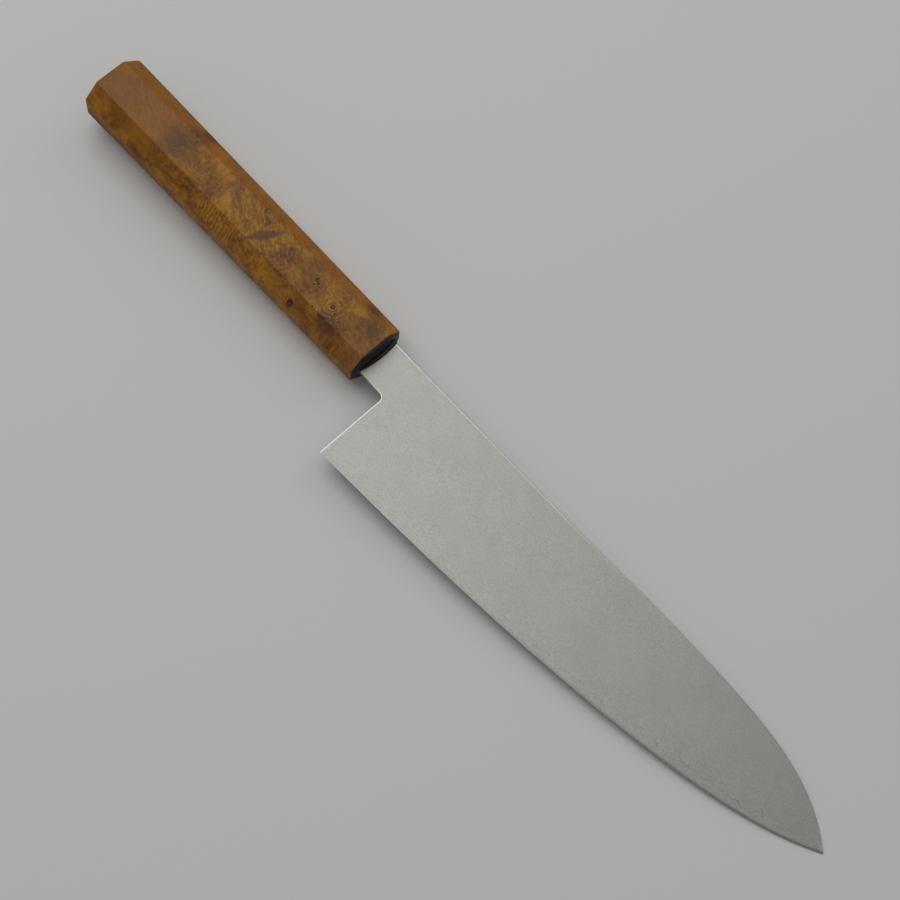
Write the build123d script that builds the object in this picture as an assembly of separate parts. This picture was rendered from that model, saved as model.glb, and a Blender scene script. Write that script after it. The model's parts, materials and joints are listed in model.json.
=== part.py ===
from build123d import *
import math
import os

# Chef knife: a three-layer laminated blade with a hidden tang in an octagonal burl handle.
# Knife frame: X runs along the handle towards the tip, Y towards the spine, Z out of the right face.
# X is 0 at the front end of the wood, and Y and Z are 0 on the handle's centre line.
# The finished part lies on its left side: on the front edge of the handle and on the blade's tip.
# All dimensions are in millimetres.

os.makedirs("parts", exist_ok=True)

# Handle: a tapered octagon with 45 degree corners
HANDLE_LENGTH = 140.5
BUTT_HEIGHT = 25.2
BUTT_THICKNESS = 20.4
BUTT_CORNER = 6.0
FRONT_HEIGHT = 23.4
FRONT_THICKNESS = 17.6
FRONT_CORNER = 5.4
ARRIS_RADIUS = 0.7
BUTT_BEVEL = 0.6
FRONT_BEVEL = 0.3

# Domed end plate, let into the front of the wood inside a narrow rim
PLATE_RIM = 0.5
PLATE_DEPTH = 0.8
DOME_HEIGHT = 1.3
DOME_RADIUS = 52.0

# Dowel and slots inside the handle, and the bead of resin round the neck
DOWEL_RADIUS = 6.5
DOWEL_END_X = -100.0
SLOT_HALF_WIDTH = 1.7
SLOT_GAP = 0.7
TANG_HALF_HEIGHT = 4.8
TANG_TIP_HALF_HEIGHT = 3.0
TANG_POINT = 3.0
SHOULDER_X = -12.0
SHOULDER_SLOPE = 2.5
TANG_END_X = -88.0
BEAD_REACH = 2.5
BEAD_TOP_REACH = 1.9
BEAD_BOTTOM_REACH = 1.0
BEAD_MIDDLE_Y = 2.0
BEAD_BEVEL = 0.4

# Blade outline
HEEL_X = 13.65
HEEL_Y = -37.9
CHOIL_Y = -8.3
CHOIL_RADIUS = 2.3
NECK_BOTTOM = -7.95
TIP_X = 225.6
TIP_BLUNT = 0.3
SPINE_Y = 8.35
SPINE_SWELL = 1.05
SWELL_START_X = 80.0
SWELL_LENGTH = 54.0
SPINE_DROP = 17.9
DROP_START_X = 48.0
DROP_POWER = 8.5
EDGE_RISE = 5.4
BELLY_RISE = 17.4
BELLY_POWER = 2.5
TIP_RISE = 6.6
TIP_POWER = 10.0

# Blade section
SPINE_THICKNESS = 2.4
TIP_THICKNESS = 0.7
TAPER_POWER = 1.3
SHOULDER_THICKNESS = 0.36
APEX_THICKNESS = 0.06
MICRO_BEVEL = 0.9
FACE_SWELL = 0.12
SPINE_EASING = 0.25

# Lamination: the hard core between two softer layers
CORE_HEEL_HALF = 0.34
CORE_TIP_HALF = 0.25

# The stations where the blade's section is drawn, from the tang to the tip
STATIONS = [-90, -30, 14, 45, 75, 100, 125, 147, 165, 180, 192, 202, 211, 217, 221, 223.7, TIP_X - TIP_BLUNT]


def along_blade(x):
    """Share of the way from the heel to the tip, 0 behind the heel."""
    return min(max((x - HEEL_X) / (TIP_X - HEEL_X), 0.0), 1.0)


def spine_y(x):
    """Height of the spine: level, a slight swell past the middle, then a steep drop to the tip."""
    s = min(max((x - SWELL_START_X) / SWELL_LENGTH, 0.0), 1.0)
    swell = SPINE_SWELL * s * s * (3.0 - 2.0 * s)
    drop = SPINE_DROP * max((x - DROP_START_X) / (TIP_X - DROP_START_X), 0.0) ** DROP_POWER
    return SPINE_Y + swell - drop


def edge_y(x):
    """Height of the cutting edge: nearly flat at the heel, then a belly that rises to the tip."""
    u = along_blade(x)
    return HEEL_Y + EDGE_RISE * u + BELLY_RISE * u**BELLY_POWER + TIP_RISE * u**TIP_POWER


def blade_section(x):
    """One cross-section of the blade: spine, two slightly convex faces and the fine edge bevel."""
    taper = along_blade(x) ** TAPER_POWER
    top = spine_y(x)
    bottom = edge_y(x)
    depth = top - bottom
    half = (SPINE_THICKNESS + (TIP_THICKNESS - SPINE_THICKNESS) * taper) / 2
    ease = min(SPINE_EASING, depth / 6)
    bevel = min(MICRO_BEVEL * (1.0 - 0.4 * taper), depth / 4)
    shoulder = min(SHOULDER_THICKNESS / 2, half * 0.6)
    apex = APEX_THICKNESS / 2
    middle_y = (top - ease + bottom + bevel) / 2
    middle_half = (half + shoulder) / 2 + FACE_SWELL * min(depth / (SPINE_Y - HEEL_Y), 1.0)

    def point(y, z):
        return Vector(x, y, z)

    edges = [
        Line(point(top, ease - half), point(top, half - ease)),
        Line(point(top, half - ease), point(top - ease, half)),
        ThreePointArc(point(top - ease, half), point(middle_y, middle_half), point(bottom + bevel, shoulder)),
        Line(point(bottom + bevel, shoulder), point(bottom, apex)),
        Line(point(bottom, apex), point(bottom, -apex)),
        Line(point(bottom, -apex), point(bottom + bevel, -shoulder)),
        ThreePointArc(point(bottom + bevel, -shoulder), point(middle_y, -middle_half), point(top - ease, -half)),
        Line(point(top - ease, -half), point(top, ease - half)),
    ]
    return make_face(edges)


def blade_blank():
    """The ground bar that the neck and tang are cut from, full depth from end to end."""
    return loft([blade_section(x) for x in STATIONS])


def keep_region():
    """What is left of the blank: the tang, the neck and the blade, parted by the choil notch."""
    below = HEEL_Y - 8
    above = SPINE_Y + SPINE_SWELL + 3
    outline = Polyline(
        (HEEL_X, below),
        (HEEL_X, CHOIL_Y),
        (0, NECK_BOTTOM),
        (SHOULDER_X + SHOULDER_SLOPE, NECK_BOTTOM),
        (SHOULDER_X + SLOT_GAP, -TANG_HALF_HEIGHT),
        (TANG_END_X + TANG_POINT, -TANG_TIP_HALF_HEIGHT),
        (TANG_END_X, 0),
        (TANG_END_X + TANG_POINT, TANG_TIP_HALF_HEIGHT),
        (SHOULDER_X + SLOT_GAP, TANG_HALF_HEIGHT),
        (SHOULDER_X + SHOULDER_SLOPE, SPINE_Y),
        (SHOULDER_X + SHOULDER_SLOPE, above),
        (TIP_X + 8, above),
        (TIP_X + 8, below),
        close=True,
    )
    region = make_face(outline)
    choil = region.vertices().sort_by_distance((HEEL_X, CHOIL_Y, 0))[0]
    region = fillet(choil, CHOIL_RADIUS)
    return extrude(region, SPINE_THICKNESS, both=True)


def blade_layers():
    """The whole blade, and its three layers: the core and the two claddings, which share flat faces."""
    blade = blade_blank() & keep_region()
    thinning = math.atan((CORE_HEEL_HALF - CORE_TIP_HALF) / (TIP_X - HEEL_X))
    normal = Vector(math.sin(thinning), 0, math.cos(thinning))
    right_plane = Plane(origin=(HEEL_X, 0, CORE_HEEL_HALF), x_dir=(0, 1, 0), z_dir=normal)
    left_plane = Plane(origin=(HEEL_X, 0, -CORE_HEEL_HALF), x_dir=(0, 1, 0), z_dir=(normal.X, 0, -normal.Z))
    right = split(blade, right_plane, keep=Keep.TOP)
    left = split(blade, left_plane, keep=Keep.TOP)
    core = split(split(blade, right_plane, keep=Keep.BOTTOM), left_plane, keep=Keep.BOTTOM)
    return blade, core, right, left


def octagon(x, height, thickness, corner, inset=0.0):
    """Corners of the handle's section: `height` by `thickness`, with its corners cut at 45 degrees."""
    y = height / 2 - inset
    z = thickness / 2 - inset
    cut = corner - inset * (2 - math.sqrt(2))
    right = [(y, z - cut), (y - cut, z), (cut - y, z), (-y, z - cut)]
    left = [(-y, cut - z), (cut - y, -z), (y - cut, -z), (y, cut - z)]
    return [Vector(x, *corner_yz) for corner_yz in right + left]


def facet(*corners):
    """One flat face of the handle."""
    return make_face(Polyline(*corners, close=True)).faces()[0]


def handle_blank():
    """The whole outside of the handle in flat facets, bevelled at both ends, with its long arrises eased."""
    butt = (BUTT_HEIGHT, BUTT_THICKNESS, BUTT_CORNER)
    front = (FRONT_HEIGHT, FRONT_THICKNESS, FRONT_CORNER)
    sections = [
        octagon(-HANDLE_LENGTH, *butt, inset=BUTT_BEVEL),
        octagon(BUTT_BEVEL - HANDLE_LENGTH, *butt),
        octagon(-FRONT_BEVEL, *front),
        octagon(0, *front, inset=FRONT_BEVEL),
    ]
    faces = [facet(*sections[0]), facet(*sections[-1])]
    for near, far in zip(sections, sections[1:]):
        for i in range(8):
            faces.append(facet(near[i - 1], near[i], far[i], far[i - 1]))
    blank = Solid(Shell(faces))
    arrises = [edge for edge in blank.edges() if edge.length > HANDLE_LENGTH / 2]
    return fillet(arrises, ARRIS_RADIUS)


def block(x0, x1, y0, y1, z0, z1):
    """A rectangular block between two corners."""
    return Pos((x0 + x1) / 2, (y0 + y1) / 2, (z0 + z1) / 2) * Box(x1 - x0, y1 - y0, z1 - z0)


def front_slot(x0, x1):
    """The slot that takes the neck at its full depth."""
    return block(x0, x1, NECK_BOTTOM - SLOT_GAP, SPINE_Y + SLOT_GAP, -SLOT_HALF_WIDTH, SLOT_HALF_WIDTH)


def tang_slot():
    """The whole slot in the wood and the dowel: full depth at the front, narrow behind the shoulder."""
    half = TANG_HALF_HEIGHT + SLOT_GAP
    narrow = block(TANG_END_X - SLOT_GAP, SHOULDER_X, -half, half, -SLOT_HALF_WIDTH, SLOT_HALF_WIDTH)
    return front_slot(SHOULDER_X, -PLATE_DEPTH) + narrow


def end_plate():
    """The black plate in the front of the handle: an octagon with a slightly domed front, before its slot is cut."""
    outline = octagon(-PLATE_DEPTH, FRONT_HEIGHT, FRONT_THICKNESS, FRONT_CORNER, inset=PLATE_RIM)
    prism = extrude(make_face(Polyline(*outline, close=True)), PLATE_DEPTH + DOME_HEIGHT, dir=(1, 0, 0))
    return prism & Pos(DOME_HEIGHT - DOME_RADIUS, 0, 0) * Sphere(DOME_RADIUS)


def neck_resin():
    """The resin in the plate's slot and the bead of it that stands in front, before the neck is cut out."""
    bottom = NECK_BOTTOM - SLOT_GAP
    top = SPINE_Y + SLOT_GAP
    outline = [
        Line((-PLATE_DEPTH, bottom), (BEAD_BOTTOM_REACH, bottom)),
        ThreePointArc((BEAD_BOTTOM_REACH, bottom), (BEAD_REACH, BEAD_MIDDLE_Y), (BEAD_TOP_REACH, top)),
        Line((BEAD_TOP_REACH, top), (-PLATE_DEPTH, top)),
        Line((-PLATE_DEPTH, top), (-PLATE_DEPTH, bottom)),
    ]
    resin = extrude(make_face(outline), SLOT_HALF_WIDTH, both=True)
    curved = resin.faces().sort_by(Axis.X)[-1]
    return chamfer(curved.edges(), BEAD_BEVEL)


def handle_parts(blade):
    """The burl body, the slotted dowel and the adhesive bed round the tang, and the plate and seal in front."""
    blank = handle_blank()
    plate_blank = end_plate()
    dowel_blank = Pos(DOWEL_END_X, 0, 0) * Rot(0, 90, 0) * Cylinder(
        DOWEL_RADIUS, -PLATE_DEPTH - DOWEL_END_X, align=(Align.CENTER, Align.CENTER, Align.MIN)
    )
    slot = tang_slot()
    body = blank - plate_blank - dowel_blank - slot
    dowel = dowel_blank - slot
    bond = slot - blade
    plate = plate_blank - front_slot(-PLATE_DEPTH - 1, DOME_HEIGHT + 1)
    seal = neck_resin() - blade
    return {
        "handle_body": body,
        "tang_dowel": dowel,
        "tang_bond": bond,
        "end_plate": plate,
        "neck_seal": seal,
    }


def rest_pose(shapes):
    """Lays the knife down on the handle's front edge and the tip, with its box centred on the origin."""
    drop = FRONT_THICKNESS / 2 - TIP_THICKNESS / 2
    tilt = math.degrees(math.atan(drop / TIP_X))
    boxes = [(Rot(0, tilt, 0) * shape).bounding_box() for shape in shapes]
    middle_x = (min(box.min.X for box in boxes) + max(box.max.X for box in boxes)) / 2
    middle_y = (min(box.min.Y for box in boxes) + max(box.max.Y for box in boxes)) / 2
    lowest = min(box.min.Z for box in boxes)
    return Pos(-middle_x, -middle_y, -lowest) * Rot(0, tilt, 0)


blade, core, right, left = blade_layers()
parts = {"blade_core": core, "cladding_right": right, "cladding_left": left}
parts.update(handle_parts(blade))
placed = rest_pose(parts.values())
for name, shape in parts.items():
    node = placed * shape
    node.label = name
    export_step(node, f"parts/{name}.step")
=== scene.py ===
"""Looks of a chef knife: a satin laminated blade in an octagonal burl handle with a black end plate."""

import json
import math

import bmesh
import bpy
from bpy.props import FloatProperty, FloatVectorProperty, PointerProperty
from mathutils import Matrix, Quaternion, Vector


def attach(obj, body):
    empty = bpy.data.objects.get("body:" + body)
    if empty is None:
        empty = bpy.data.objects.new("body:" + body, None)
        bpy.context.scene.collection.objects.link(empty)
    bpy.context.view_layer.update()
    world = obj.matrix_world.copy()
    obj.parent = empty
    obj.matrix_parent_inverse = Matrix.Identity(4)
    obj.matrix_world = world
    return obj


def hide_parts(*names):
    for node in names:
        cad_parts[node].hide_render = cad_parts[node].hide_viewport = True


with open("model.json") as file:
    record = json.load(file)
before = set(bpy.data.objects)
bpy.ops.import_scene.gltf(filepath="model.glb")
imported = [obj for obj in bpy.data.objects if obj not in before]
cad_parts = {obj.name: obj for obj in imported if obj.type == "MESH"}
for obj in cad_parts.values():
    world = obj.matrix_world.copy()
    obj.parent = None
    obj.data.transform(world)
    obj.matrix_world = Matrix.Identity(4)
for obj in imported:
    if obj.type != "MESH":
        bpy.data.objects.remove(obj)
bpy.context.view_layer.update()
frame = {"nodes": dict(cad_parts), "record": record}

bl_info = {
    "name": "Chef knife finishes",
    "version": (1, 0, 0),
    "blender": (4, 5, 0),
    "location": "3D View > Sidebar > Knife",
    "description": "Finishes, fine shapes and a small studio for a laminated chef knife",
    "category": "Object",
}

MM = 0.001

# The knife's own frame: X along the handle to the tip, Y to the spine, Z out of the right face, in
# millimetres. Its origin is where the neck leaves the handle, one handle length in front of the butt.
HANDLE_LENGTH = 140.5
BUTT_FACE = next(m for m in frame["record"]["mounts"] if m["name"] == "butt_face")
KNIFE_X = -Vector(BUTT_FACE["axis"]).normalized()
KNIFE_Y = Vector((0.0, 1.0, 0.0))
KNIFE_Z = KNIFE_X.cross(KNIFE_Y)
KNIFE_ORIGIN = Vector(BUTT_FACE["pos_m"]) + KNIFE_X * HANDLE_LENGTH * MM
KNIFE_TURN = Matrix((KNIFE_X, KNIFE_Y, KNIFE_Z)).transposed().to_4x4()
KNIFE_TO_ROW = Matrix.Translation(KNIFE_ORIGIN) @ KNIFE_TURN @ Matrix.Scale(MM, 4)


def tone(red, green, blue):
    """A screen colour, 0 to 255, as the linear colour that shaders use."""
    return tuple(((c / 255 + 0.055) / 1.055) ** 2.4 if c > 10 else c / 255 / 12.92 for c in (red, green, blue))


# ------------------------------------------------------------------ what a user may change


def colour(name, description, shade):
    """A colour property with its default given as a screen colour."""
    return FloatVectorProperty(
        name=name, description=description, default=tone(*shade), subtype="COLOR", size=3, min=0.0, max=1.0
    )


def share(name, description, default):
    """A property between 0 and 1."""
    return FloatProperty(name=name, description=description, default=default, subtype="FACTOR", min=0.0, max=1.0)


def length(name, description, default):
    """A property that holds a small length, given in millimetres."""
    return FloatProperty(
        name=name, description=description, default=default * MM, subtype="DISTANCE", unit="LENGTH", min=0.0
    )


class KnifeWood(bpy.types.PropertyGroup):
    """Colours, gloss and eased corners of the handle's wood."""

    honey: colour("Honey", "Palest wood, between the swirls", (194, 137, 44))
    gold: colour("Gold", "Main golden brown", (160, 107, 36))
    brown: colour("Brown", "Middle brown", (128, 81, 32))
    umber: colour("Umber", "Darkest of the plain wood", (90, 55, 24))
    purple: colour("Purple brown", "Patches of dense burl", (98, 63, 45))
    # Rose is the wood's own pink near the front, and also a painted sheen on the top facet near the butt.
    rose_and_sheen: colour("Rose", "Pinkish wood near the butt and the front", (150, 99, 58))
    bark: colour("Bark", "Piths of the eyes and bark in the streak", (44, 27, 22))
    # The side tint is painted shade, multiplied onto the six narrower facets.
    side: colour("Side tint", "Deeper tone of the wood on the six narrower facets", (236, 216, 118))
    gloss_roughness: share("Roughness", "Roughness of the oiled surface", 0.36)
    specular: share("Specular level", "Strength of the oil's reflection", 0.33)
    sheen: colour("Reflection tint", "Tint of the oil's reflection", (255, 242, 222))
    arris_ease: length("Arris ease", "Width eased off each side of a long arris", 0.29)
    butt_ease: length("Butt ease", "Width eased off the edge of the butt", 1.9)
    front_ease: length("Front ease", "Width eased off the edge of the front", 0.3)


class KnifeSteel(bpy.types.PropertyGroup):
    """Greys, painted highlights, satin and lamination of the blade."""

    cladding: colour("Cladding", "Grey of the two outer layers", (187, 185, 180))
    core: colour("Core", "Grey of the hard core", (187, 186, 181))
    line: colour("Lamination line", "Grey of the line and of the grain", (146, 144, 139))
    # The shine grey is a painted highlight: the pale band along the eased notch and spine edges and beside the
    # lamination line.
    highlight_grey: colour("Shine", "Grey of the eased notch and spine edges and of the line's bright side", (222, 222, 218))
    roughness: share("Roughness", "Roughness of the satin faces", 0.42)
    line_height: length("Line height", "Height of the lamination line above the edge", 3.2)


class KnifeFittings(bpy.types.PropertyGroup):
    """The black plate and resin at the front of the handle, and the joinery inside it."""

    plate: colour("End plate", "Colour of the end plate", (15, 13, 11))
    plate_roughness: share("Plate roughness", "Roughness of the end plate", 0.5)
    resin: colour("Resin", "Colour of the resin round the neck", (10, 9, 8))
    resin_roughness: share("Resin roughness", "Roughness of the resin", 0.28)
    dowel: colour("Dowel", "Colour of the dowel inside the handle", (190, 160, 112))
    adhesive: colour("Adhesive", "Colour of the bed round the tang", (150, 130, 84))


class KnifeStudio(bpy.types.PropertyGroup):
    """The floor and the lights."""

    floor: colour("Floor", "Colour of the floor", (238, 238, 236))
    sky: FloatProperty(name="Even light", description="Strength of the light from all round", default=0.205, min=0.0)
    overhead: FloatProperty(
        name="Overhead", description="Power of the large softbox overhead", default=9.4, unit="POWER", min=0.0
    )
    key: FloatProperty(
        name="Key", description="Power of the softbox behind the spine", default=1.6, unit="POWER", min=0.0
    )


# ------------------------------------------------------------------ shader building


class Value:
    """One output of a node. Python's arithmetic on it adds Math nodes to the same finish."""

    def __init__(self, finish, socket):
        self.finish = finish
        self.socket = socket

    def math(self, operation, *terms, clamp=False):
        """Adds one Math node with this value as its first term."""
        settings = {"operation": operation, "use_clamp": clamp}
        return self.finish.node("ShaderNodeMath", settings, dict(enumerate((self,) + terms)))

    def __add__(self, other):
        return self.math("ADD", other)

    __radd__ = __add__

    def __mul__(self, other):
        return self.math("MULTIPLY", other)

    __rmul__ = __mul__

    def __sub__(self, other):
        return self.math("SUBTRACT", other)

    def __rsub__(self, other):
        return self.math("MULTIPLY_ADD", -1.0, other)

    def __truediv__(self, other):
        return self.math("DIVIDE", other)

    def __pow__(self, power):
        return self.math("POWER", power)

    def clamped(self):
        """The same value held between 0 and 1."""
        return self.math("ADD", 0.0, clamp=True)

    def step(self, low, high):
        """Rises smoothly from 0 at `low` to 1 at `high`, or falls from 1 to 0 where `low` is the larger."""
        settings = {"interpolation_type": "SMOOTHSTEP"}
        first, last = (0.0, 1.0) if low < high else (1.0, 0.0)
        sockets = {0: self, 1: min(low, high), 2: max(low, high), 3: first, 4: last}
        return self.finish.node("ShaderNodeMapRange", settings, sockets)


class Finish:
    """One material: its node tree, the call that adds any node to it, and the patterns used on a knife."""

    def __init__(self, name):
        self.material = bpy.data.materials.new(name)
        self.material.use_nodes = True
        self.tree = self.material.node_tree
        self.tree.nodes.clear()
        self.spot = self.knife_spot()

    def node(self, kind, settings=None, sockets=None, out=0):
        """Adds a node: its settings first, then the values or links of its sockets. Returns one output."""
        node = self.tree.nodes.new(kind)
        for key, setting in (settings or {}).items():
            if key == "stops":
                self.set_stops(node.color_ramp, setting)
            else:
                setattr(node, key, setting)
        for key, value in (sockets or {}).items():
            if isinstance(value, Value):
                self.tree.links.new(value.socket, node.inputs[key])
            elif node.inputs[key].type == "RGBA":
                node.inputs[key].default_value = (*value, 1.0)
            else:
                node.inputs[key].default_value = value
        return Value(self, node.outputs[out]) if node.outputs else None

    @staticmethod
    def set_stops(ramp, stops):
        """Gives a colour ramp its stops, a list of (place, colour)."""
        while len(ramp.elements) < len(stops):
            ramp.elements.new(1.0)
        for element, (place, colour) in zip(ramp.elements, stops):
            element.position = place
            element.color = (*colour, 1.0)

    def knife_spot(self):
        """The shaded point in the knife's frame, in millimetres."""
        place, turn, scale = KNIFE_TO_ROW.inverted().decompose()
        coordinates = self.node("ShaderNodeTexCoord", out="Object")
        sockets = {"Vector": coordinates, "Location": place, "Rotation": turn.to_euler(), "Scale": scale}
        return self.node("ShaderNodeMapping", {"vector_type": "POINT"}, sockets)

    def vector(self, operation, first, second, out=0):
        """Adds one Vector Math node."""
        return self.node("ShaderNodeVectorMath", {"operation": operation}, {0: first, 1: second}, out)

    def axes(self, vector):
        """The three components of a vector."""
        split = self.node("ShaderNodeSeparateXYZ", sockets={0: vector}).socket.node
        return [Value(self, output) for output in split.outputs]

    def noise(self, vector, scale, detail=2.0, roughness=0.5, out=0):
        """Fractal noise about 0.5, with `scale` features in a millimetre."""
        sockets = {"Vector": vector, "Scale": scale, "Detail": detail, "Roughness": roughness}
        return self.node("ShaderNodeTexNoise", sockets=sockets, out=out)

    def stirred(self, vector, scale, reach, detail=2.0):
        """The vector pushed about by noise, by up to about half of `reach` millimetres."""
        push = self.vector("SUBTRACT", self.noise(vector, scale, detail, out=1), (0.5, 0.5, 0.5))
        return self.vector("ADD", vector, self.vector("MULTIPLY", push, (reach, reach, reach)))

    def distance(self, vector, centre, squeeze=(1.0, 1.0, 1.0)):
        """Distance from a point, in millimetres; `squeeze` scales each axis first."""
        offset = self.vector("SUBTRACT", vector, centre)
        return self.vector("LENGTH", self.vector("MULTIPLY", offset, squeeze), (0.0, 0.0, 0.0), out="Value")

    def mix(self, share, first, second, blend="MIX"):
        """A colour between two, or one blended over the other."""
        settings = {"data_type": "RGBA", "blend_type": blend}
        return self.node("ShaderNodeMix", settings, {0: share, 6: first, 7: second}, out=2)

    def ramp(self, value, stops):
        """A colour read from a ramp of (place, colour) stops."""
        return self.node("ShaderNodeValToRGB", {"stops": stops}, {0: value})

    def bump(self, height, strength, distance):
        """A normal tilted by a height field; `distance` is the height of its full range, in metres."""
        return self.node("ShaderNodeBump", sockets={"Strength": strength, "Distance": distance, "Height": height})

    def surface(self, sockets):
        """Adds the principled shader and the output. Returns the finished material."""
        shader = self.node("ShaderNodeBsdfPrincipled", sockets=sockets)
        self.node("ShaderNodeOutputMaterial", sockets={"Surface": shader})
        return self.material


def give(node, material):
    """Puts a finish on a CAD node's own mesh."""
    mesh = frame["nodes"][node].data
    mesh.materials.clear()
    mesh.materials.append(material)


# ------------------------------------------------------------------ shapes of the CAD model, in millimetres

BUTT = {"height": 25.2, "thickness": 20.4, "corner": 6.0}
FRONT = {"height": 23.4, "thickness": 17.6, "corner": 5.4}
PLATE_RIM = 0.5
PLATE_OUTLINE = {
    "height": FRONT["height"] - 2 * PLATE_RIM,
    "thickness": FRONT["thickness"] - 2 * PLATE_RIM,
    "corner": FRONT["corner"] - (2 - 2**0.5) * PLATE_RIM,
}
PLATE_DEPTH = 0.8
SIDE_Z = 9.4
TOP_HALF_WIDTH = 6.4

HEEL_X = 13.65
HEEL_Y = -37.9
CHOIL_Y = -8.3
CHOIL_RADIUS = 2.3
SPINE_Y = 8.35
TIP_X = 225.6
SPINE_FALL_X = 48.0
SPINE_FALL = 17.9
DOWEL_RADIUS = 6.5
DOWEL_END_X = -100.0
DOWEL_SIDES = 64
SHARP_ANGLE = 0.6
ARRIS_STEPS = 4
ROUND_STEPS = 5


def edge_line(x):
    """Height of the cutting edge at a place along the blade, as a shader value."""
    along = ((x - HEEL_X) / (TIP_X - HEEL_X)).clamped()
    return along * 5.4 + along**2.5 * 17.4 + along**10.0 * 6.6 + HEEL_Y


def spine_line(x):
    """Height of the spine at a place along the blade, as a shader value."""
    fall = ((x - SPINE_FALL_X) / (TIP_X - SPINE_FALL_X)).clamped()
    return x.step(80.0, 134.0) * 1.05 - fall**8.5 * SPINE_FALL + SPINE_Y


# ------------------------------------------------------------------ burl

# Patches of the right side: place along and across the handle, half-length, half-width, strength.
PURPLE_PATCHES = (
    (-102.0, 0.6, 8.4, 11.0, 0.8),
    (-100.4, 6.4, 6.4, 4.5, 0.85),
    (-102.8, -4.0, 5.6, 4.4, 0.8),
    (-98.8, 10.4, 3.6, 3.6, 1.0),
    (-101.5, -8.5, 6.0, 4.0, 0.6),
    (-125.5, -8.6, 5.0, 3.0, 0.35),
    (-131.0, 3.6, 4.0, 3.0, 0.3),
    (-81.0, -5.2, 2.4, 2.6, 1.0),
    (-76.0, 3.8, 4.6, 4.6, 0.8),
    (-84.0, -10.5, 2.6, 3.0, 0.55),
    (-44.6, -0.8, 4.2, 3.6, 0.75),
    (-36.0, 4.6, 4.8, 2.8, 0.7),
    (-34.2, 2.2, 2.8, 2.6, 0.5),
    (-27.4, 0.6, 2.6, 3.4, 0.6),
    (-17.8, -6.8, 6.0, 4.4, 1.25),
    (-14.0, -2.6, 4.6, 3.0, 0.55),
    (-29.0, -9.5, 4.5, 2.4, 0.55),
    (-4.8, 2.8, 4.6, 5.0, 0.9),
    (-11.0, 9.8, 4.6, 2.4, 0.95),
    (-61.8, -8.6, 2.8, 2.6, 0.8),
)
GOLDEN_PATCHES = (
    (-91.0, 9.8, 6.0, 3.0, 0.75),
    (-90.5, -1.5, 6.0, 4.5, 0.2),
    (-75.0, -8.8, 9.0, 5.0, 0.7),
    (-65.0, 1.0, 6.0, 6.0, 0.6),
    (-51.0, 0.8, 3.4, 5.6, 0.9),
    (-54.5, 5.6, 6.0, 2.2, 0.6),
    (-40.0, -2.5, 5.0, 3.5, 0.45),
    (-24.4, -6.6, 3.2, 2.8, 0.8),
    (-14.2, 5.0, 4.4, 2.6, 0.95),
    (-20.8, 9.6, 5.0, 2.4, 0.5),
    (-1.6, 9.6, 2.6, 2.2, 0.9),
    (-57.0, 10.0, 9.0, 3.0, 0.45),
    (-134.0, -9.5, 6.0, 4.0, 0.5),
)
# Eyes: place along and across, radius of the pith, reach of the rings, how pale the pith's middle is.
EYES = (
    (-20.6, -1.3, 1.3, 8.5, 0.5),
    (-18.2, -2.6, 0.6, 2.4, 0.2),
    (-31.9, 1.8, 0.75, 3.2, 0.3),
    (-30.2, 0.7, 0.65, 2.4, 0.2),
    (-31.2, -0.6, 0.55, 2.0, 0.2),
    (-32.8, -10.4, 1.6, 3.0, 0.35),
    (-15.0, -3.6, 0.5, 2.0, 0.2),
    (-12.6, -3.4, 0.4, 1.6, 0.2),
    (-25.6, -6.4, 0.45, 2.2, 0.2),
)
PATCH_DEPTH = 7.0
SIDE_FACETS = (5.8, 7.0)
EYE_SQUEEZE = (1.0, 1.0, 0.3)
RING_PACE = 4.4
STREAK_MIDDLE = (-56.4, -1.0, 8.8)
STREAK_ALONG = (-0.53, -0.848, 0.0)
STREAK_ACROSS = (0.848, -0.53, 0.0)


def side_height(y):
    """Height of the handle's right side above its centre line, at a place across it."""
    return min(SIDE_Z, SIDE_Z + TOP_HALF_WIDTH - abs(y))


def patches(burl, spot, places):
    """How deep a point lies in any of the placed patches, 0 to 1."""
    inside = None
    for along, across, half_length, half_width, strength in places:
        centre = (along, across, side_height(across))
        reach = burl.distance(spot, centre, (1.0 / half_length, 1.0 / half_width, 1.0 / PATCH_DEPTH))
        one = reach.step(1.25, 0.35) * strength
        inside = one if inside is None else inside.math("MAXIMUM", one)
    return inside


def eye_rings(burl, spot, ripple):
    """The uneven rings round every placed eye as a wave of -1 to 1, and the dark piths as 0 to 1."""
    rings = None
    piths = None
    for along, across, pith, reach, hollow in EYES:
        centre = (along, across, side_height(across))
        middle = burl.distance(burl.spot, centre, EYE_SQUEEZE)
        distance = burl.distance(spot, centre, EYE_SQUEEZE)
        fade = distance.step(reach, 0.3 * pith)
        wave = (distance * (RING_PACE / pith**0.5) + ripple).math("SINE") * fade
        dot = middle.step(0.9 * pith, 0.6 * pith) - middle.step(0.6 * pith, 0.1 * pith) * hollow
        rings = wave if rings is None else rings + wave
        piths = dot if piths is None else piths.math("MAXIMUM", dot)
    return rings, piths


def scattered_eyes(burl, spot, where):
    """Small eyes strewn at random where `where` is near 1: dark piths and a pale ring round each."""
    sockets = {"Vector": spot, "Scale": 0.21, "Randomness": 1.0}
    cells = burl.node("ShaderNodeTexVoronoi", {"feature": "F1"}, sockets)
    tint = Value(burl, cells.socket.node.outputs["Color"])
    chosen = burl.axes(tint)[0].step(0.45, 0.55) * where
    pith = cells.step(0.11, 0.05) * chosen
    halo = cells.step(0.3, 0.18) * cells.step(0.1, 0.16) * chosen
    return pith, halo


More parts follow.
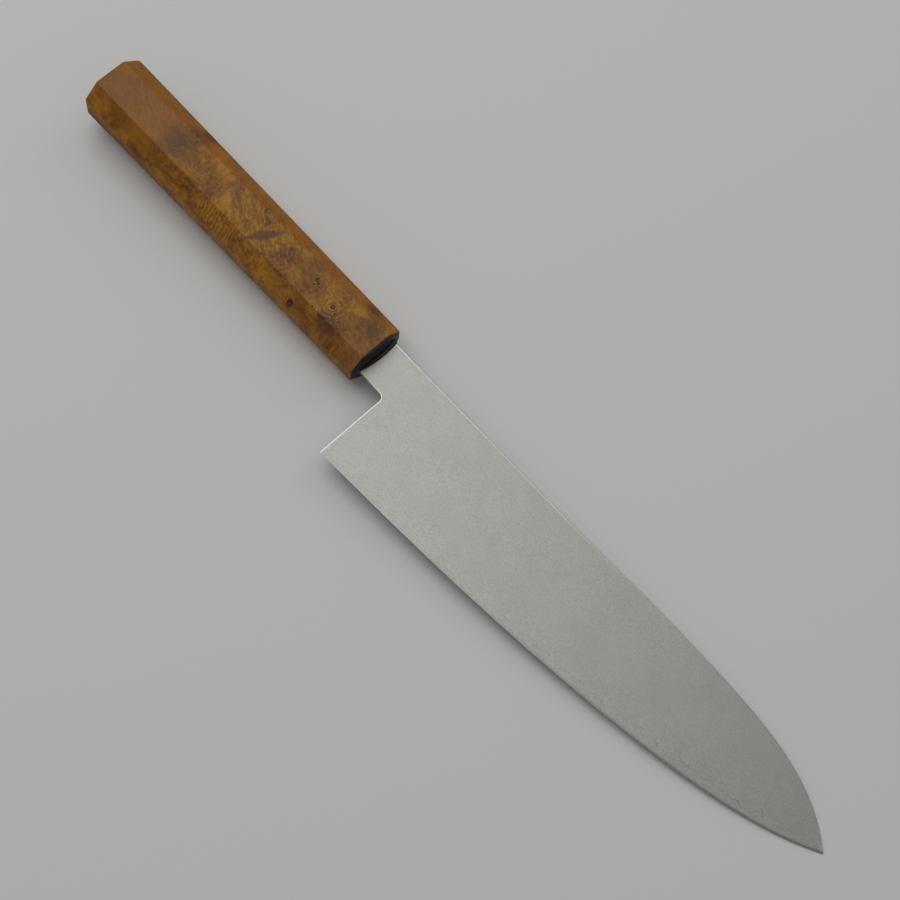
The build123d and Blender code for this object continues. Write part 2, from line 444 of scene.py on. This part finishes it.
def dark_streak(burl, spot, ripple):
    """The slanted bark-coloured streak across the right side, 0 to 1."""
    offset = burl.vector("SUBTRACT", spot, STREAK_MIDDLE)
    along = burl.vector("DOT_PRODUCT", offset, STREAK_ALONG, out="Value")
    across = burl.vector("DOT_PRODUCT", offset, STREAK_ACROSS, out="Value")
    height = burl.axes(spot)[2]
    half = 1.5 - along * along * 0.028
    edge = across.math("ABSOLUTE") - half + ripple * 0.12
    return edge.step(0.8, -0.6) * height.step(2.0, 5.0)


class Burl(Finish):
    """The oiled burl, with the stirred points and the masks that its patterns share."""

    def __init__(self, look):
        super().__init__("oiled_burl")
        self.look = look
        self.x, self.y, self.z = self.axes(self.spot)
        self.curl = self.stirred(self.stirred(self.spot, 0.05, 16.0, 1.0), 0.3, 3.0, 2.0)
        self.placed = self.stirred(self.stirred(self.spot, 0.22, 3.4, 2.0), 1.1, 0.7, 2.0)
        self.bent_x, self.bent_y, self.bent_z = self.axes(self.placed)
        self.mottle = self.noise(self.curl, 0.55, 4.0, 0.6)
        self.hidden = self.z.step(1.0, -3.0)
        self.sides = self.y.math("ABSOLUTE").step(*SIDE_FACETS)
        # Where the painted sheen lies: the top facet near the butt.
        self.butt_sheen = self.x.step(-98.0, -116.0) * self.z.step(4.0, 8.5)

    def swirls(self):
        """Golden and brown swirls and pinkish wood at the front, with a painted sheen that makes the top facet
        calmer and pinker near the butt, and painted shade that turns the spine side more golden.
        """
        look = self.look
        shade = self.noise(self.curl, 0.1, 3.0, 0.55) * 0.6 + self.mottle * 0.4
        # Painted sheen: lower contrast on the top facet near the butt.
        shade = shade + (0.52 - shade) * self.butt_sheen * 0.55
        wood = self.ramp(shade, [(0.34, look.umber), (0.44, look.brown), (0.53, look.gold), (0.66, look.honey)])
        golden = patches(self, self.placed, GOLDEN_PATCHES)
        wood = self.mix(golden * (self.mottle.step(0.3, 0.65) * 0.6 + 0.3), wood, look.honey)
        # Painted sheen: pinker wood on the top facet near the butt; the pink at the front below is the wood's own.
        wood = self.mix(self.butt_sheen * (1.0 - self.sides) * 0.6, wood, look.rose_and_sheen)
        wood = self.mix(self.x.step(-12.0, -4.0) * self.y.step(7.5, 6.0) * 0.5, wood, look.rose_and_sheen)
        # Painted shade: the spine-side facets turned more golden, as they look without the oil's sheen.
        return self.mix(self.y.step(*SIDE_FACETS) * 0.4, wood, look.honey)

    def add_purple(self, wood):
        """Purple-brown patches: the placed ones, and stray ones that are strongest on the left side."""
        stray = self.noise(self.curl, 0.13, 2.0).step(0.52, 0.66) * (self.hidden * 0.6 + 0.15)
        purple = patches(self, self.placed, PURPLE_PATCHES).math("MAXIMUM", stray)
        return self.mix(purple * (1.15 - self.mottle * 0.7), wood, self.look.purple)

    def grain(self):
        """Slanted straight fibres as a value of about 0.5."""
        along = self.bent_x * 0.84 - self.bent_y * 0.54
        across = self.bent_x * 0.54 + self.bent_y * 0.84
        sockets = {0: along * 0.16, 1: across * 1.15, 2: self.bent_z * 1.15}
        return self.noise(self.node("ShaderNodeCombineXYZ", sockets=sockets), 1.0, 3.0, 0.6)

    def add_grain(self, wood, grain):
        """The fibres, clearest round the dark streak."""
        zone = self.distance(self.placed, (-60.0, -1.0, 8.5), (1 / 20.0, 1 / 12.0, 1 / 9.0)).step(1.2, 0.5)
        wood = self.mix(grain.step(0.5, 0.63) * (zone * 0.25 + 0.18), wood, self.look.umber)
        return self.mix(grain.step(0.48, 0.36) * (zone * 0.6 + 0.14), wood, self.look.honey)

    def add_figure(self, wood, rings):
        """Fine lines: contours of the swirls, the curled ripples on the edge side and the rings of the eyes."""
        contours = (self.noise(self.curl, 0.075, 2.0) * 85.0 + self.mottle * 2.0).math("SINE")
        zone = self.distance(self.placed, (-73.5, -8.8, 6.5), (1 / 12.0, 1 / 5.2, 1 / 6.0)).step(1.15, 0.5)
        ripples = (self.bent_x * 4.2 + self.bent_y * 1.2 + self.mottle * 4.0).math("SINE") * zone
        # The painted sheen near the butt also makes the contour lines fainter there.
        lines = contours * (0.4 - self.butt_sheen * 0.25) + rings * 0.9 + ripples * 0.85
        wood = self.mix(lines.step(0.05, 1.1) * 0.5, wood, self.look.umber)
        return self.mix(lines.step(-0.05, -1.1) * 0.5, wood, self.look.honey)

    def add_vein(self, wood):
        """The thin wavering vein on the edge side near the butt."""
        vein = (self.bent_y - self.bent_x * 0.13 - 2.1).math("ABSOLUTE").step(0.5, 0.1)
        vein = vein * self.x.step(-122.0, -112.0) * self.x.step(-82.0, -90.0) * self.z.step(0.0, 3.0)
        return self.mix(vein * 0.4, wood, self.look.umber)

    def add_bark(self, wood, piths):
        """The dark piths of the placed and the strewn eyes, and the slanted streak."""
        look = self.look
        where = self.noise(self.spot, 0.04, 1.0).step(0.5, 0.62) * self.hidden
        pin, halo = scattered_eyes(self, self.curl, where)
        wood = self.mix(halo * 0.45, wood, look.honey)
        streak = dark_streak(self, self.stirred(self.spot, 0.35, 1.8, 2.0), self.mottle * 4.0 - 2.0)
        wood = self.mix(streak * 0.7, wood, look.purple)
        wood = self.mix(streak * self.mottle.step(0.4, 0.65) * 0.22, wood, look.bark)
        return self.mix(piths.math("MAXIMUM", pin) * 0.92, wood, look.bark)

    def paint_side_shade(self, wood):
        """Painted shade: a deeper tone multiplied onto the narrower facets, most on the spine side and near the
        butt.
        """
        depth = self.y.step(-1.0, 1.0) * 0.75 + self.x.step(-70.0, -110.0) * 0.35 + 0.15
        return self.mix(self.sides * depth, wood, self.look.side, blend="MULTIPLY")


def burl_finish(look):
    """Oiled burl: golden and brown swirls, purple patches, curled figure, ringed eyes and one dark streak, with
    painted shade on the narrower facets and a painted sheen near the butt.
    """
    burl = Burl(look)
    grain = burl.grain()
    speck = burl.noise(burl.spot, 5.0, 2.0, 0.7)
    rings, piths = eye_rings(burl, burl.stirred(burl.spot, 0.14, 3.0, 1.0), burl.mottle * 1.8)
    wood = burl.add_purple(burl.swirls())
    wood = burl.add_figure(burl.add_grain(wood, grain), rings)
    wood = burl.add_bark(burl.add_vein(wood), piths)
    # Painted shade on the narrower facets, then dark specks.
    wood = burl.mix(speck.step(0.62, 0.78) * 0.25, burl.paint_side_shade(wood), look.bark)
    sockets = {
        "Base Color": wood,
        "Roughness": burl.mottle * 0.16 + look.gloss_roughness + burl.sides * 0.12,
        "Specular IOR Level": look.specular,
        "Specular Tint": look.sheen,
        "Normal": burl.bump(grain * 0.5 + speck * 0.5 - piths * 1.5, 0.35, 0.00003),
    }
    return burl.surface(sockets)


# ------------------------------------------------------------------ steel, plate and resin

def steel_finish(name, look, layer_grey):
    """Satin steel with a fine pear-skin grain, a wandering lamination line and a finer ground edge bevel, with
    painted highlights along the notch and spine edges and beside the line, and painted shade on the bevel.
    """
    steel = Finish(name)
    x, y, z = steel.axes(steel.spot)
    rise = y - edge_line(x)
    wander = steel.noise(steel.spot, 0.09, 2.0, 0.5) * 3.4 + steel.noise(steel.spot, 0.28, 3.0, 0.55) * 7.0
    depth = rise + wander - (5.2 + look.line_height / MM)
    fading = x.step(60.0, 150.0) * 0.85 + 0.15
    broken = steel.noise(steel.spot, 0.3, 2.0).step(0.38, 0.58)
    line = depth.math("ABSOLUTE").step(0.45, 0.05) * fading * broken
    # Painted highlight: the lit side of the line's relief, beside the dark line.
    lip = (depth - 0.5).math("ABSOLUTE").step(0.45, 0.05) * fading * broken
    grain = steel.noise(steel.spot, 1.9, 4.0, 0.65)
    cloud = steel.noise(steel.spot, 0.07, 3.0, 0.6)
    bevel = rise.step(0.95, 0.8)
    # Painted highlights: pale bands along the notch edges and along the spine near the handle; their lower roughness
    # is the edges' real polish.
    notch_x = (x - (HEEL_X - CHOIL_RADIUS)).math("MAXIMUM", 0.0)
    notch_y = (y - (CHOIL_Y - CHOIL_RADIUS)).math("MAXIMUM", 0.0)
    notch = ((notch_x * notch_x + notch_y * notch_y) ** 0.5 - CHOIL_RADIUS).step(0.4, 0.12)
    spine = (spine_line(x) - y).step(0.6, 0.3) * x.step(170.0, 60.0) * 0.7
    eased = notch.math("MAXIMUM", spine)

    grey = steel.mix(line * 0.5, layer_grey, look.line)
    grey = steel.mix(lip * 0.16, grey, look.highlight_grey)
    grey = steel.mix(grain.step(0.38, 0.66) * 0.36, grey, look.line)
    grey = steel.mix(cloud.step(0.35, 0.7) * 0.12, grey, look.line)
    # Painted shade: the edge bevel darkened; its lower roughness below is its real finer grind.
    grey = steel.mix(bevel * 0.1, grey, look.line)
    # Painted highlight on the eased edges.
    grey = steel.mix(eased * 0.9, grey, look.highlight_grey)
    relief = grain * (1.0 - bevel) - line * 0.6
    sockets = {
        "Base Color": grey,
        "Metallic": 1.0,
        "Roughness": grain * 0.08 + look.roughness - bevel * 0.05 - eased * 0.12,
        "Normal": steel.bump(relief, 0.6, 0.00002),
    }
    return steel.surface(sockets)


def plain_finish(name, shade, roughness, scale=0.8, relief=0.0):
    """A plain finish with a faint mottle and, if asked, a slightly uneven surface."""
    plain = Finish(name)
    mottle = plain.noise(plain.spot, scale, 3.0)
    shade = plain.mix(mottle, [c * 0.75 for c in shade], [c * 1.25 for c in shade])
    sockets = {"Base Color": shade, "Roughness": mottle * 0.1 + roughness}
    if relief:
        sockets["Normal"] = plain.bump(mottle, 0.5, relief)
    return plain.surface(sockets)


def dowel_finish(look):
    """Pale straight-grained softwood for the dowel inside the handle."""
    dowel = Finish("dowel_wood")
    streaks = dowel.noise(dowel.vector("MULTIPLY", dowel.spot, (0.04, 1.0, 1.0)), 1.6, 3.0, 0.6)
    shade = dowel.mix(streaks.step(0.3, 0.7), look.dowel, [c * 0.6 for c in look.dowel])
    sockets = {"Base Color": shade, "Roughness": streaks * 0.2 + 0.55, "Normal": dowel.bump(streaks, 0.3, 0.00005)}
    return dowel.surface(sockets)


# ------------------------------------------------------------------ shapes


def octagon_ring(shape, x, section):
    """Eight new edges on the outline of the handle at a place along it."""
    y = section["height"] / 2
    z = section["thickness"] / 2
    cut = section["corner"]
    corners = [(y, z - cut), (y - cut, z), (cut - y, z), (-y, z - cut)]
    corners += [(-a, -b) for a, b in corners]
    ring = [shape.verts.new((x, a, b)) for a, b in corners]
    return [shape.edges.new((ring[i - 1], ring[i])) for i in range(len(ring))]


def open_rim(shape, x):
    """The edges of the open end at a place along the handle."""
    return [edge for edge in shape.edges if edge.is_boundary and all(abs(v.co.x - x) < 0.01 for v in edge.verts)]


def section_at(x):
    """The handle's octagon at a place along it."""
    backwards = -x / HANDLE_LENGTH
    return {key: FRONT[key] + (BUTT[key] - FRONT[key]) * backwards for key in FRONT}


def round_over(shape, face, width, outwards):
    """Carries an end face outwards in a quarter round, a little smaller at each step. Returns the last face."""
    half = max(vertex.co.y for vertex in face.verts)
    turns = [math.pi / 2 * step / ROUND_STEPS for step in range(ROUND_STEPS + 1)]
    for before, after in zip(turns, turns[1:]):
        shrink = (half - width * (1.0 - math.cos(after))) / (half - width * (1.0 - math.cos(before)))
        advance = outwards * width * (math.sin(after) - math.sin(before))
        face = bmesh.ops.extrude_discrete_faces(shape, faces=[face])["faces"][0]
        bmesh.ops.scale(shape, vec=(1.0, shrink, shrink), verts=face.verts)
        bmesh.ops.translate(shape, vec=(advance, 0.0, 0.0), verts=face.verts)
    return face


def eased_octagon(look):
    """The solid tapered octagon with its arrises and both ends eased. Returns it and its front face."""
    shape = bmesh.new()
    butt_ease = look.butt_ease / MM
    front_ease = look.front_ease / MM
    back = butt_ease - HANDLE_LENGTH
    rings = {x: octagon_ring(shape, x, section_at(x)) for x in (back, -front_ease)}
    bmesh.ops.bridge_loops(shape, edges=rings[back] + rings[-front_ease])
    arrises = [edge for edge in shape.edges if not edge.is_boundary]
    bmesh.ops.bevel(
        shape, geom=arrises, offset=look.arris_ease / MM, offset_type="OFFSET", affect="EDGES",
        segments=ARRIS_STEPS, profile=0.5, material=-1,
    )
    rims = {x: open_rim(shape, x) for x in rings}
    ends = {x: bmesh.ops.contextual_create(shape, geom=rim)["faces"][0] for x, rim in rims.items()}
    round_over(shape, ends[back], butt_ease, -1.0)
    return shape, round_over(shape, ends[-front_ease], front_ease, 1.0)


def recess_plate(shape, front):
    """Sinks the front face, drawn in to the plate's outline, and leaves the recess open at its floor."""
    half = PLATE_OUTLINE["height"] / 2
    depth = PLATE_OUTLINE["thickness"] / 2
    slant = half + depth - PLATE_OUTLINE["corner"]
    lip = bmesh.ops.extrude_discrete_faces(shape, faces=[front])["faces"][0]
    for vertex in lip.verts:
        across, up = abs(vertex.co.y), abs(vertex.co.z)
        inset = min(half / across, depth / up, slant / (across + up))
        bmesh.ops.scale(shape, vec=(1.0, inset, inset), verts=[vertex])
    floor = bmesh.ops.extrude_discrete_faces(shape, faces=[lip])["faces"][0]
    bmesh.ops.translate(shape, vec=(-PLATE_DEPTH, 0.0, 0.0), verts=floor.verts)
    bmesh.ops.delete(shape, geom=[floor], context="FACES_ONLY")


def bore_dowel_hole(shape):
    """Closes the recess's floor round the dowel's mouth and sinks the blind bore."""
    mouth = open_rim(shape, -PLATE_DEPTH)
    place = Matrix.Translation((-PLATE_DEPTH, 0.0, 0.0)) @ Matrix.Rotation(math.pi / 2, 4, "Y")
    circle = bmesh.ops.create_circle(shape, segments=DOWEL_SIDES, radius=DOWEL_RADIUS, matrix=place)["verts"]
    bore = list(dict.fromkeys(edge for vertex in circle for edge in vertex.link_edges))
    bmesh.ops.bridge_loops(shape, edges=mouth + bore)
    deep = bmesh.ops.extrude_edge_only(shape, edges=bore)["geom"]
    deep = [part for part in deep if isinstance(part, bmesh.types.BMVert)]
    bmesh.ops.translate(shape, vec=(DOWEL_END_X + PLATE_DEPTH, 0.0, 0.0), verts=deep)
    bmesh.ops.contextual_create(shape, geom=open_rim(shape, DOWEL_END_X))


def handle_wood(look):
    """The wood: a tapered octagon with eased arrises and ends, recessed for the plate and bored for the dowel."""
    shape, front = eased_octagon(look)
    recess_plate(shape, front)
    bore_dowel_hole(shape)
    return shape


def add_piece(name, shape, material):
    """Turns a closed shape in knife millimetres into a finished piece that rides on the body."""
    bmesh.ops.recalc_face_normals(shape, faces=shape.faces)
    if any(not edge.is_manifold for edge in shape.edges):
        raise RuntimeError(name + " isn't closed")
    for edge in shape.edges:
        edge.smooth = edge.calc_face_angle() < SHARP_ANGLE
    bmesh.ops.transform(shape, matrix=KNIFE_TO_ROW, verts=shape.verts)
    mesh = bpy.data.meshes.new(name)
    shape.to_mesh(mesh)
    shape.free()
    mesh.materials.append(material)
    piece = bpy.data.objects.new(name, mesh)
    bpy.context.scene.collection.objects.link(piece)
    for face in mesh.polygons:
        face.use_smooth = True
    flats = piece.modifiers.new("flat_facets", "WEIGHTED_NORMAL")
    flats.keep_sharp = True
    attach(piece, "root")
    return piece


# ------------------------------------------------------------------ stage

CAMERA_TARGET = Vector((KNIFE_ORIGIN.x + 40.91 * MM, KNIFE_ORIGIN.y - 2.05 * MM, 0.0))
CAMERA_AZIMUTH = -50.21
CAMERA_ELEVATION = 69.109
CAMERA_DISTANCE = 732.69 * MM
CAMERA_ROLL = 7.443
CAMERA_LENS = 84.53
CAMERA_SENSOR = 36.0
OVERHEAD_PLACE = (-0.7, 0.14, 1.42)
OVERHEAD_SIZE = 1.5
KEY_PLACE = (0.2, 1.5, 1.1)
KEY_SIZE = 0.7
FLOOR_REACH = 4.0


def heading(azimuth, elevation):
    """Unit vector at an azimuth about Z and an elevation above the floor, in degrees."""
    flat = math.cos(math.radians(elevation))
    turn = math.radians(azimuth)
    return Vector((flat * math.cos(turn), flat * math.sin(turn), math.sin(math.radians(elevation))))


def add_camera():
    """The studio camera, above the blade's edge side and turned a little about its own axis."""
    data = bpy.data.cameras.new("studio_camera")
    data.sensor_width = CAMERA_SENSOR
    data.lens = CAMERA_LENS
    camera = bpy.data.objects.new("studio_camera", data)
    away = heading(CAMERA_AZIMUTH, CAMERA_ELEVATION)
    camera.location = CAMERA_TARGET + away * CAMERA_DISTANCE
    roll = Quaternion((0.0, 0.0, 1.0), math.radians(CAMERA_ROLL))
    camera.rotation_euler = ((-away).to_track_quat("-Z", "Y") @ roll).to_euler()
    bpy.context.scene.collection.objects.link(camera)
    bpy.context.scene.camera = camera


def add_softbox(name, place, size, power):
    """A square area light at `place`, turned to the middle of the floor, in metres and watts."""
    data = bpy.data.lights.new(name, "AREA")
    data.size = size
    data.energy = power
    light = bpy.data.objects.new(name, data)
    light.location = place
    light.rotation_euler = (-Vector(place)).to_track_quat("-Z", "Y").to_euler()
    bpy.context.scene.collection.objects.link(light)


def add_floor(shade):
    """A plain pale floor under the knife."""
    mesh = bpy.data.meshes.new("studio_floor")
    sheet = bmesh.new()
    bmesh.ops.create_grid(sheet, x_segments=1, y_segments=1, size=FLOOR_REACH)
    sheet.to_mesh(mesh)
    sheet.free()
    floor = bpy.data.objects.new("studio_floor", mesh)
    bpy.context.scene.collection.objects.link(floor)
    paint = bpy.data.materials.new("floor_paint")
    paint.use_nodes = True
    shader = paint.node_tree.nodes["Principled BSDF"]
    shader.inputs["Base Color"].default_value = (*shade, 1.0)
    shader.inputs["Roughness"].default_value = 0.9
    shader.inputs["Specular IOR Level"].default_value = 0.2
    mesh.materials.append(paint)


def set_sky(strength):
    """An even dim light from all round."""
    world = bpy.data.worlds.new("studio_air")
    world.use_nodes = True
    background = world.node_tree.nodes["Background"]
    background.inputs["Color"].default_value = (1.0, 1.0, 1.0, 1.0)
    background.inputs["Strength"].default_value = strength
    bpy.context.scene.world = world


# ------------------------------------------------------------------ operators


class KNIFE_OT_blade(bpy.types.Operator):
    """Finish the three steel layers of the blade"""

    bl_idname = "knife.blade"
    bl_label = "Blade"

    def execute(self, context):
        look = context.scene.knife_steel
        give("blade_core", steel_finish("core_satin", look, look.core))
        cladding = steel_finish("cladding_satin", look, look.cladding)
        give("cladding_left", cladding)
        give("cladding_right", cladding)
        return {"FINISHED"}


class KNIFE_OT_handle_wood(bpy.types.Operator):
    """Shape and finish the burl body of the handle"""

    bl_idname = "knife.handle_wood"
    bl_label = "Handle wood"

    def execute(self, context):
        look = context.scene.knife_wood
        piece = add_piece("burl_handle", handle_wood(look), burl_finish(look))
        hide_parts("handle_body")
        return {"FINISHED"}


class KNIFE_OT_front_fittings(bpy.types.Operator):
    """Finish the domed end plate and the resin round the neck"""

    bl_idname = "knife.front_fittings"
    bl_label = "Front fittings"

    def execute(self, context):
        look = context.scene.knife_fittings
        give("end_plate", plain_finish("black_plate", look.plate, look.plate_roughness, 0.9, 0.00002))
        give("neck_seal", plain_finish("black_resin", look.resin, look.resin_roughness, 0.5, 0.00004))
        return {"FINISHED"}


class KNIFE_OT_joinery(bpy.types.Operator):
    """Finish the dowel and the adhesive inside the handle"""

    bl_idname = "knife.joinery"
    bl_label = "Joinery"

    def execute(self, context):
        look = context.scene.knife_fittings
        give("tang_dowel", dowel_finish(look))
        give("tang_bond", plain_finish("amber_adhesive", look.adhesive, 0.45, 0.5, 0.00005))
        return {"FINISHED"}


class KNIFE_OT_stage(bpy.types.Operator):
    """Set out the floor, the lights and the camera"""

    bl_idname = "knife.stage"
    bl_label = "Stage"

    def execute(self, context):
        look = context.scene.knife_studio
        add_floor(look.floor)
        set_sky(look.sky)
        add_softbox("softbox_overhead", OVERHEAD_PLACE, OVERHEAD_SIZE, look.overhead)
        add_softbox("softbox_key", KEY_PLACE, KEY_SIZE, look.key)
        add_camera()
        context.scene.view_settings.view_transform = "Standard"
        return {"FINISHED"}


class KNIFE_PT_finishes(bpy.types.Panel):
    """The knife's sizes, colours and lights, and the steps that build its looks"""

    bl_label = "Chef knife"
    bl_idname = "KNIFE_PT_finishes"
    bl_space_type = "VIEW_3D"
    bl_region_type = "UI"
    bl_category = "Knife"

    def draw(self, context):
        for operator in OPERATORS:
            self.layout.operator(operator.bl_idname)
        for key, group in GROUPS.items():
            box = self.layout.box()
            for field in group.__annotations__:
                box.prop(getattr(context.scene, key), field)


OPERATORS = (KNIFE_OT_blade, KNIFE_OT_handle_wood, KNIFE_OT_front_fittings, KNIFE_OT_joinery, KNIFE_OT_stage)
GROUPS = {
    "knife_steel": KnifeSteel,
    "knife_wood": KnifeWood,
    "knife_fittings": KnifeFittings,
    "knife_studio": KnifeStudio,
}
CLASSES = (*GROUPS.values(), *OPERATORS, KNIFE_PT_finishes)


def register():
    """Registers every class of the add-on and its settings on the scene."""
    for cls in CLASSES:
        bpy.utils.register_class(cls)
    for key, group in GROUPS.items():
        setattr(bpy.types.Scene, key, PointerProperty(type=group))


def unregister():
    """Removes the settings and every class of the add-on."""
    for key in GROUPS:
        delattr(bpy.types.Scene, key)
    for cls in reversed(CLASSES):
        bpy.utils.unregister_class(cls)


def main():
    """Builds the looks, one operator after another."""
    register()
    bpy.ops.knife.blade()
    bpy.ops.knife.handle_wood()
    bpy.ops.knife.front_fittings()
    bpy.ops.knife.joinery()
    bpy.ops.knife.stage()


if __name__ == "__main__":
    main()
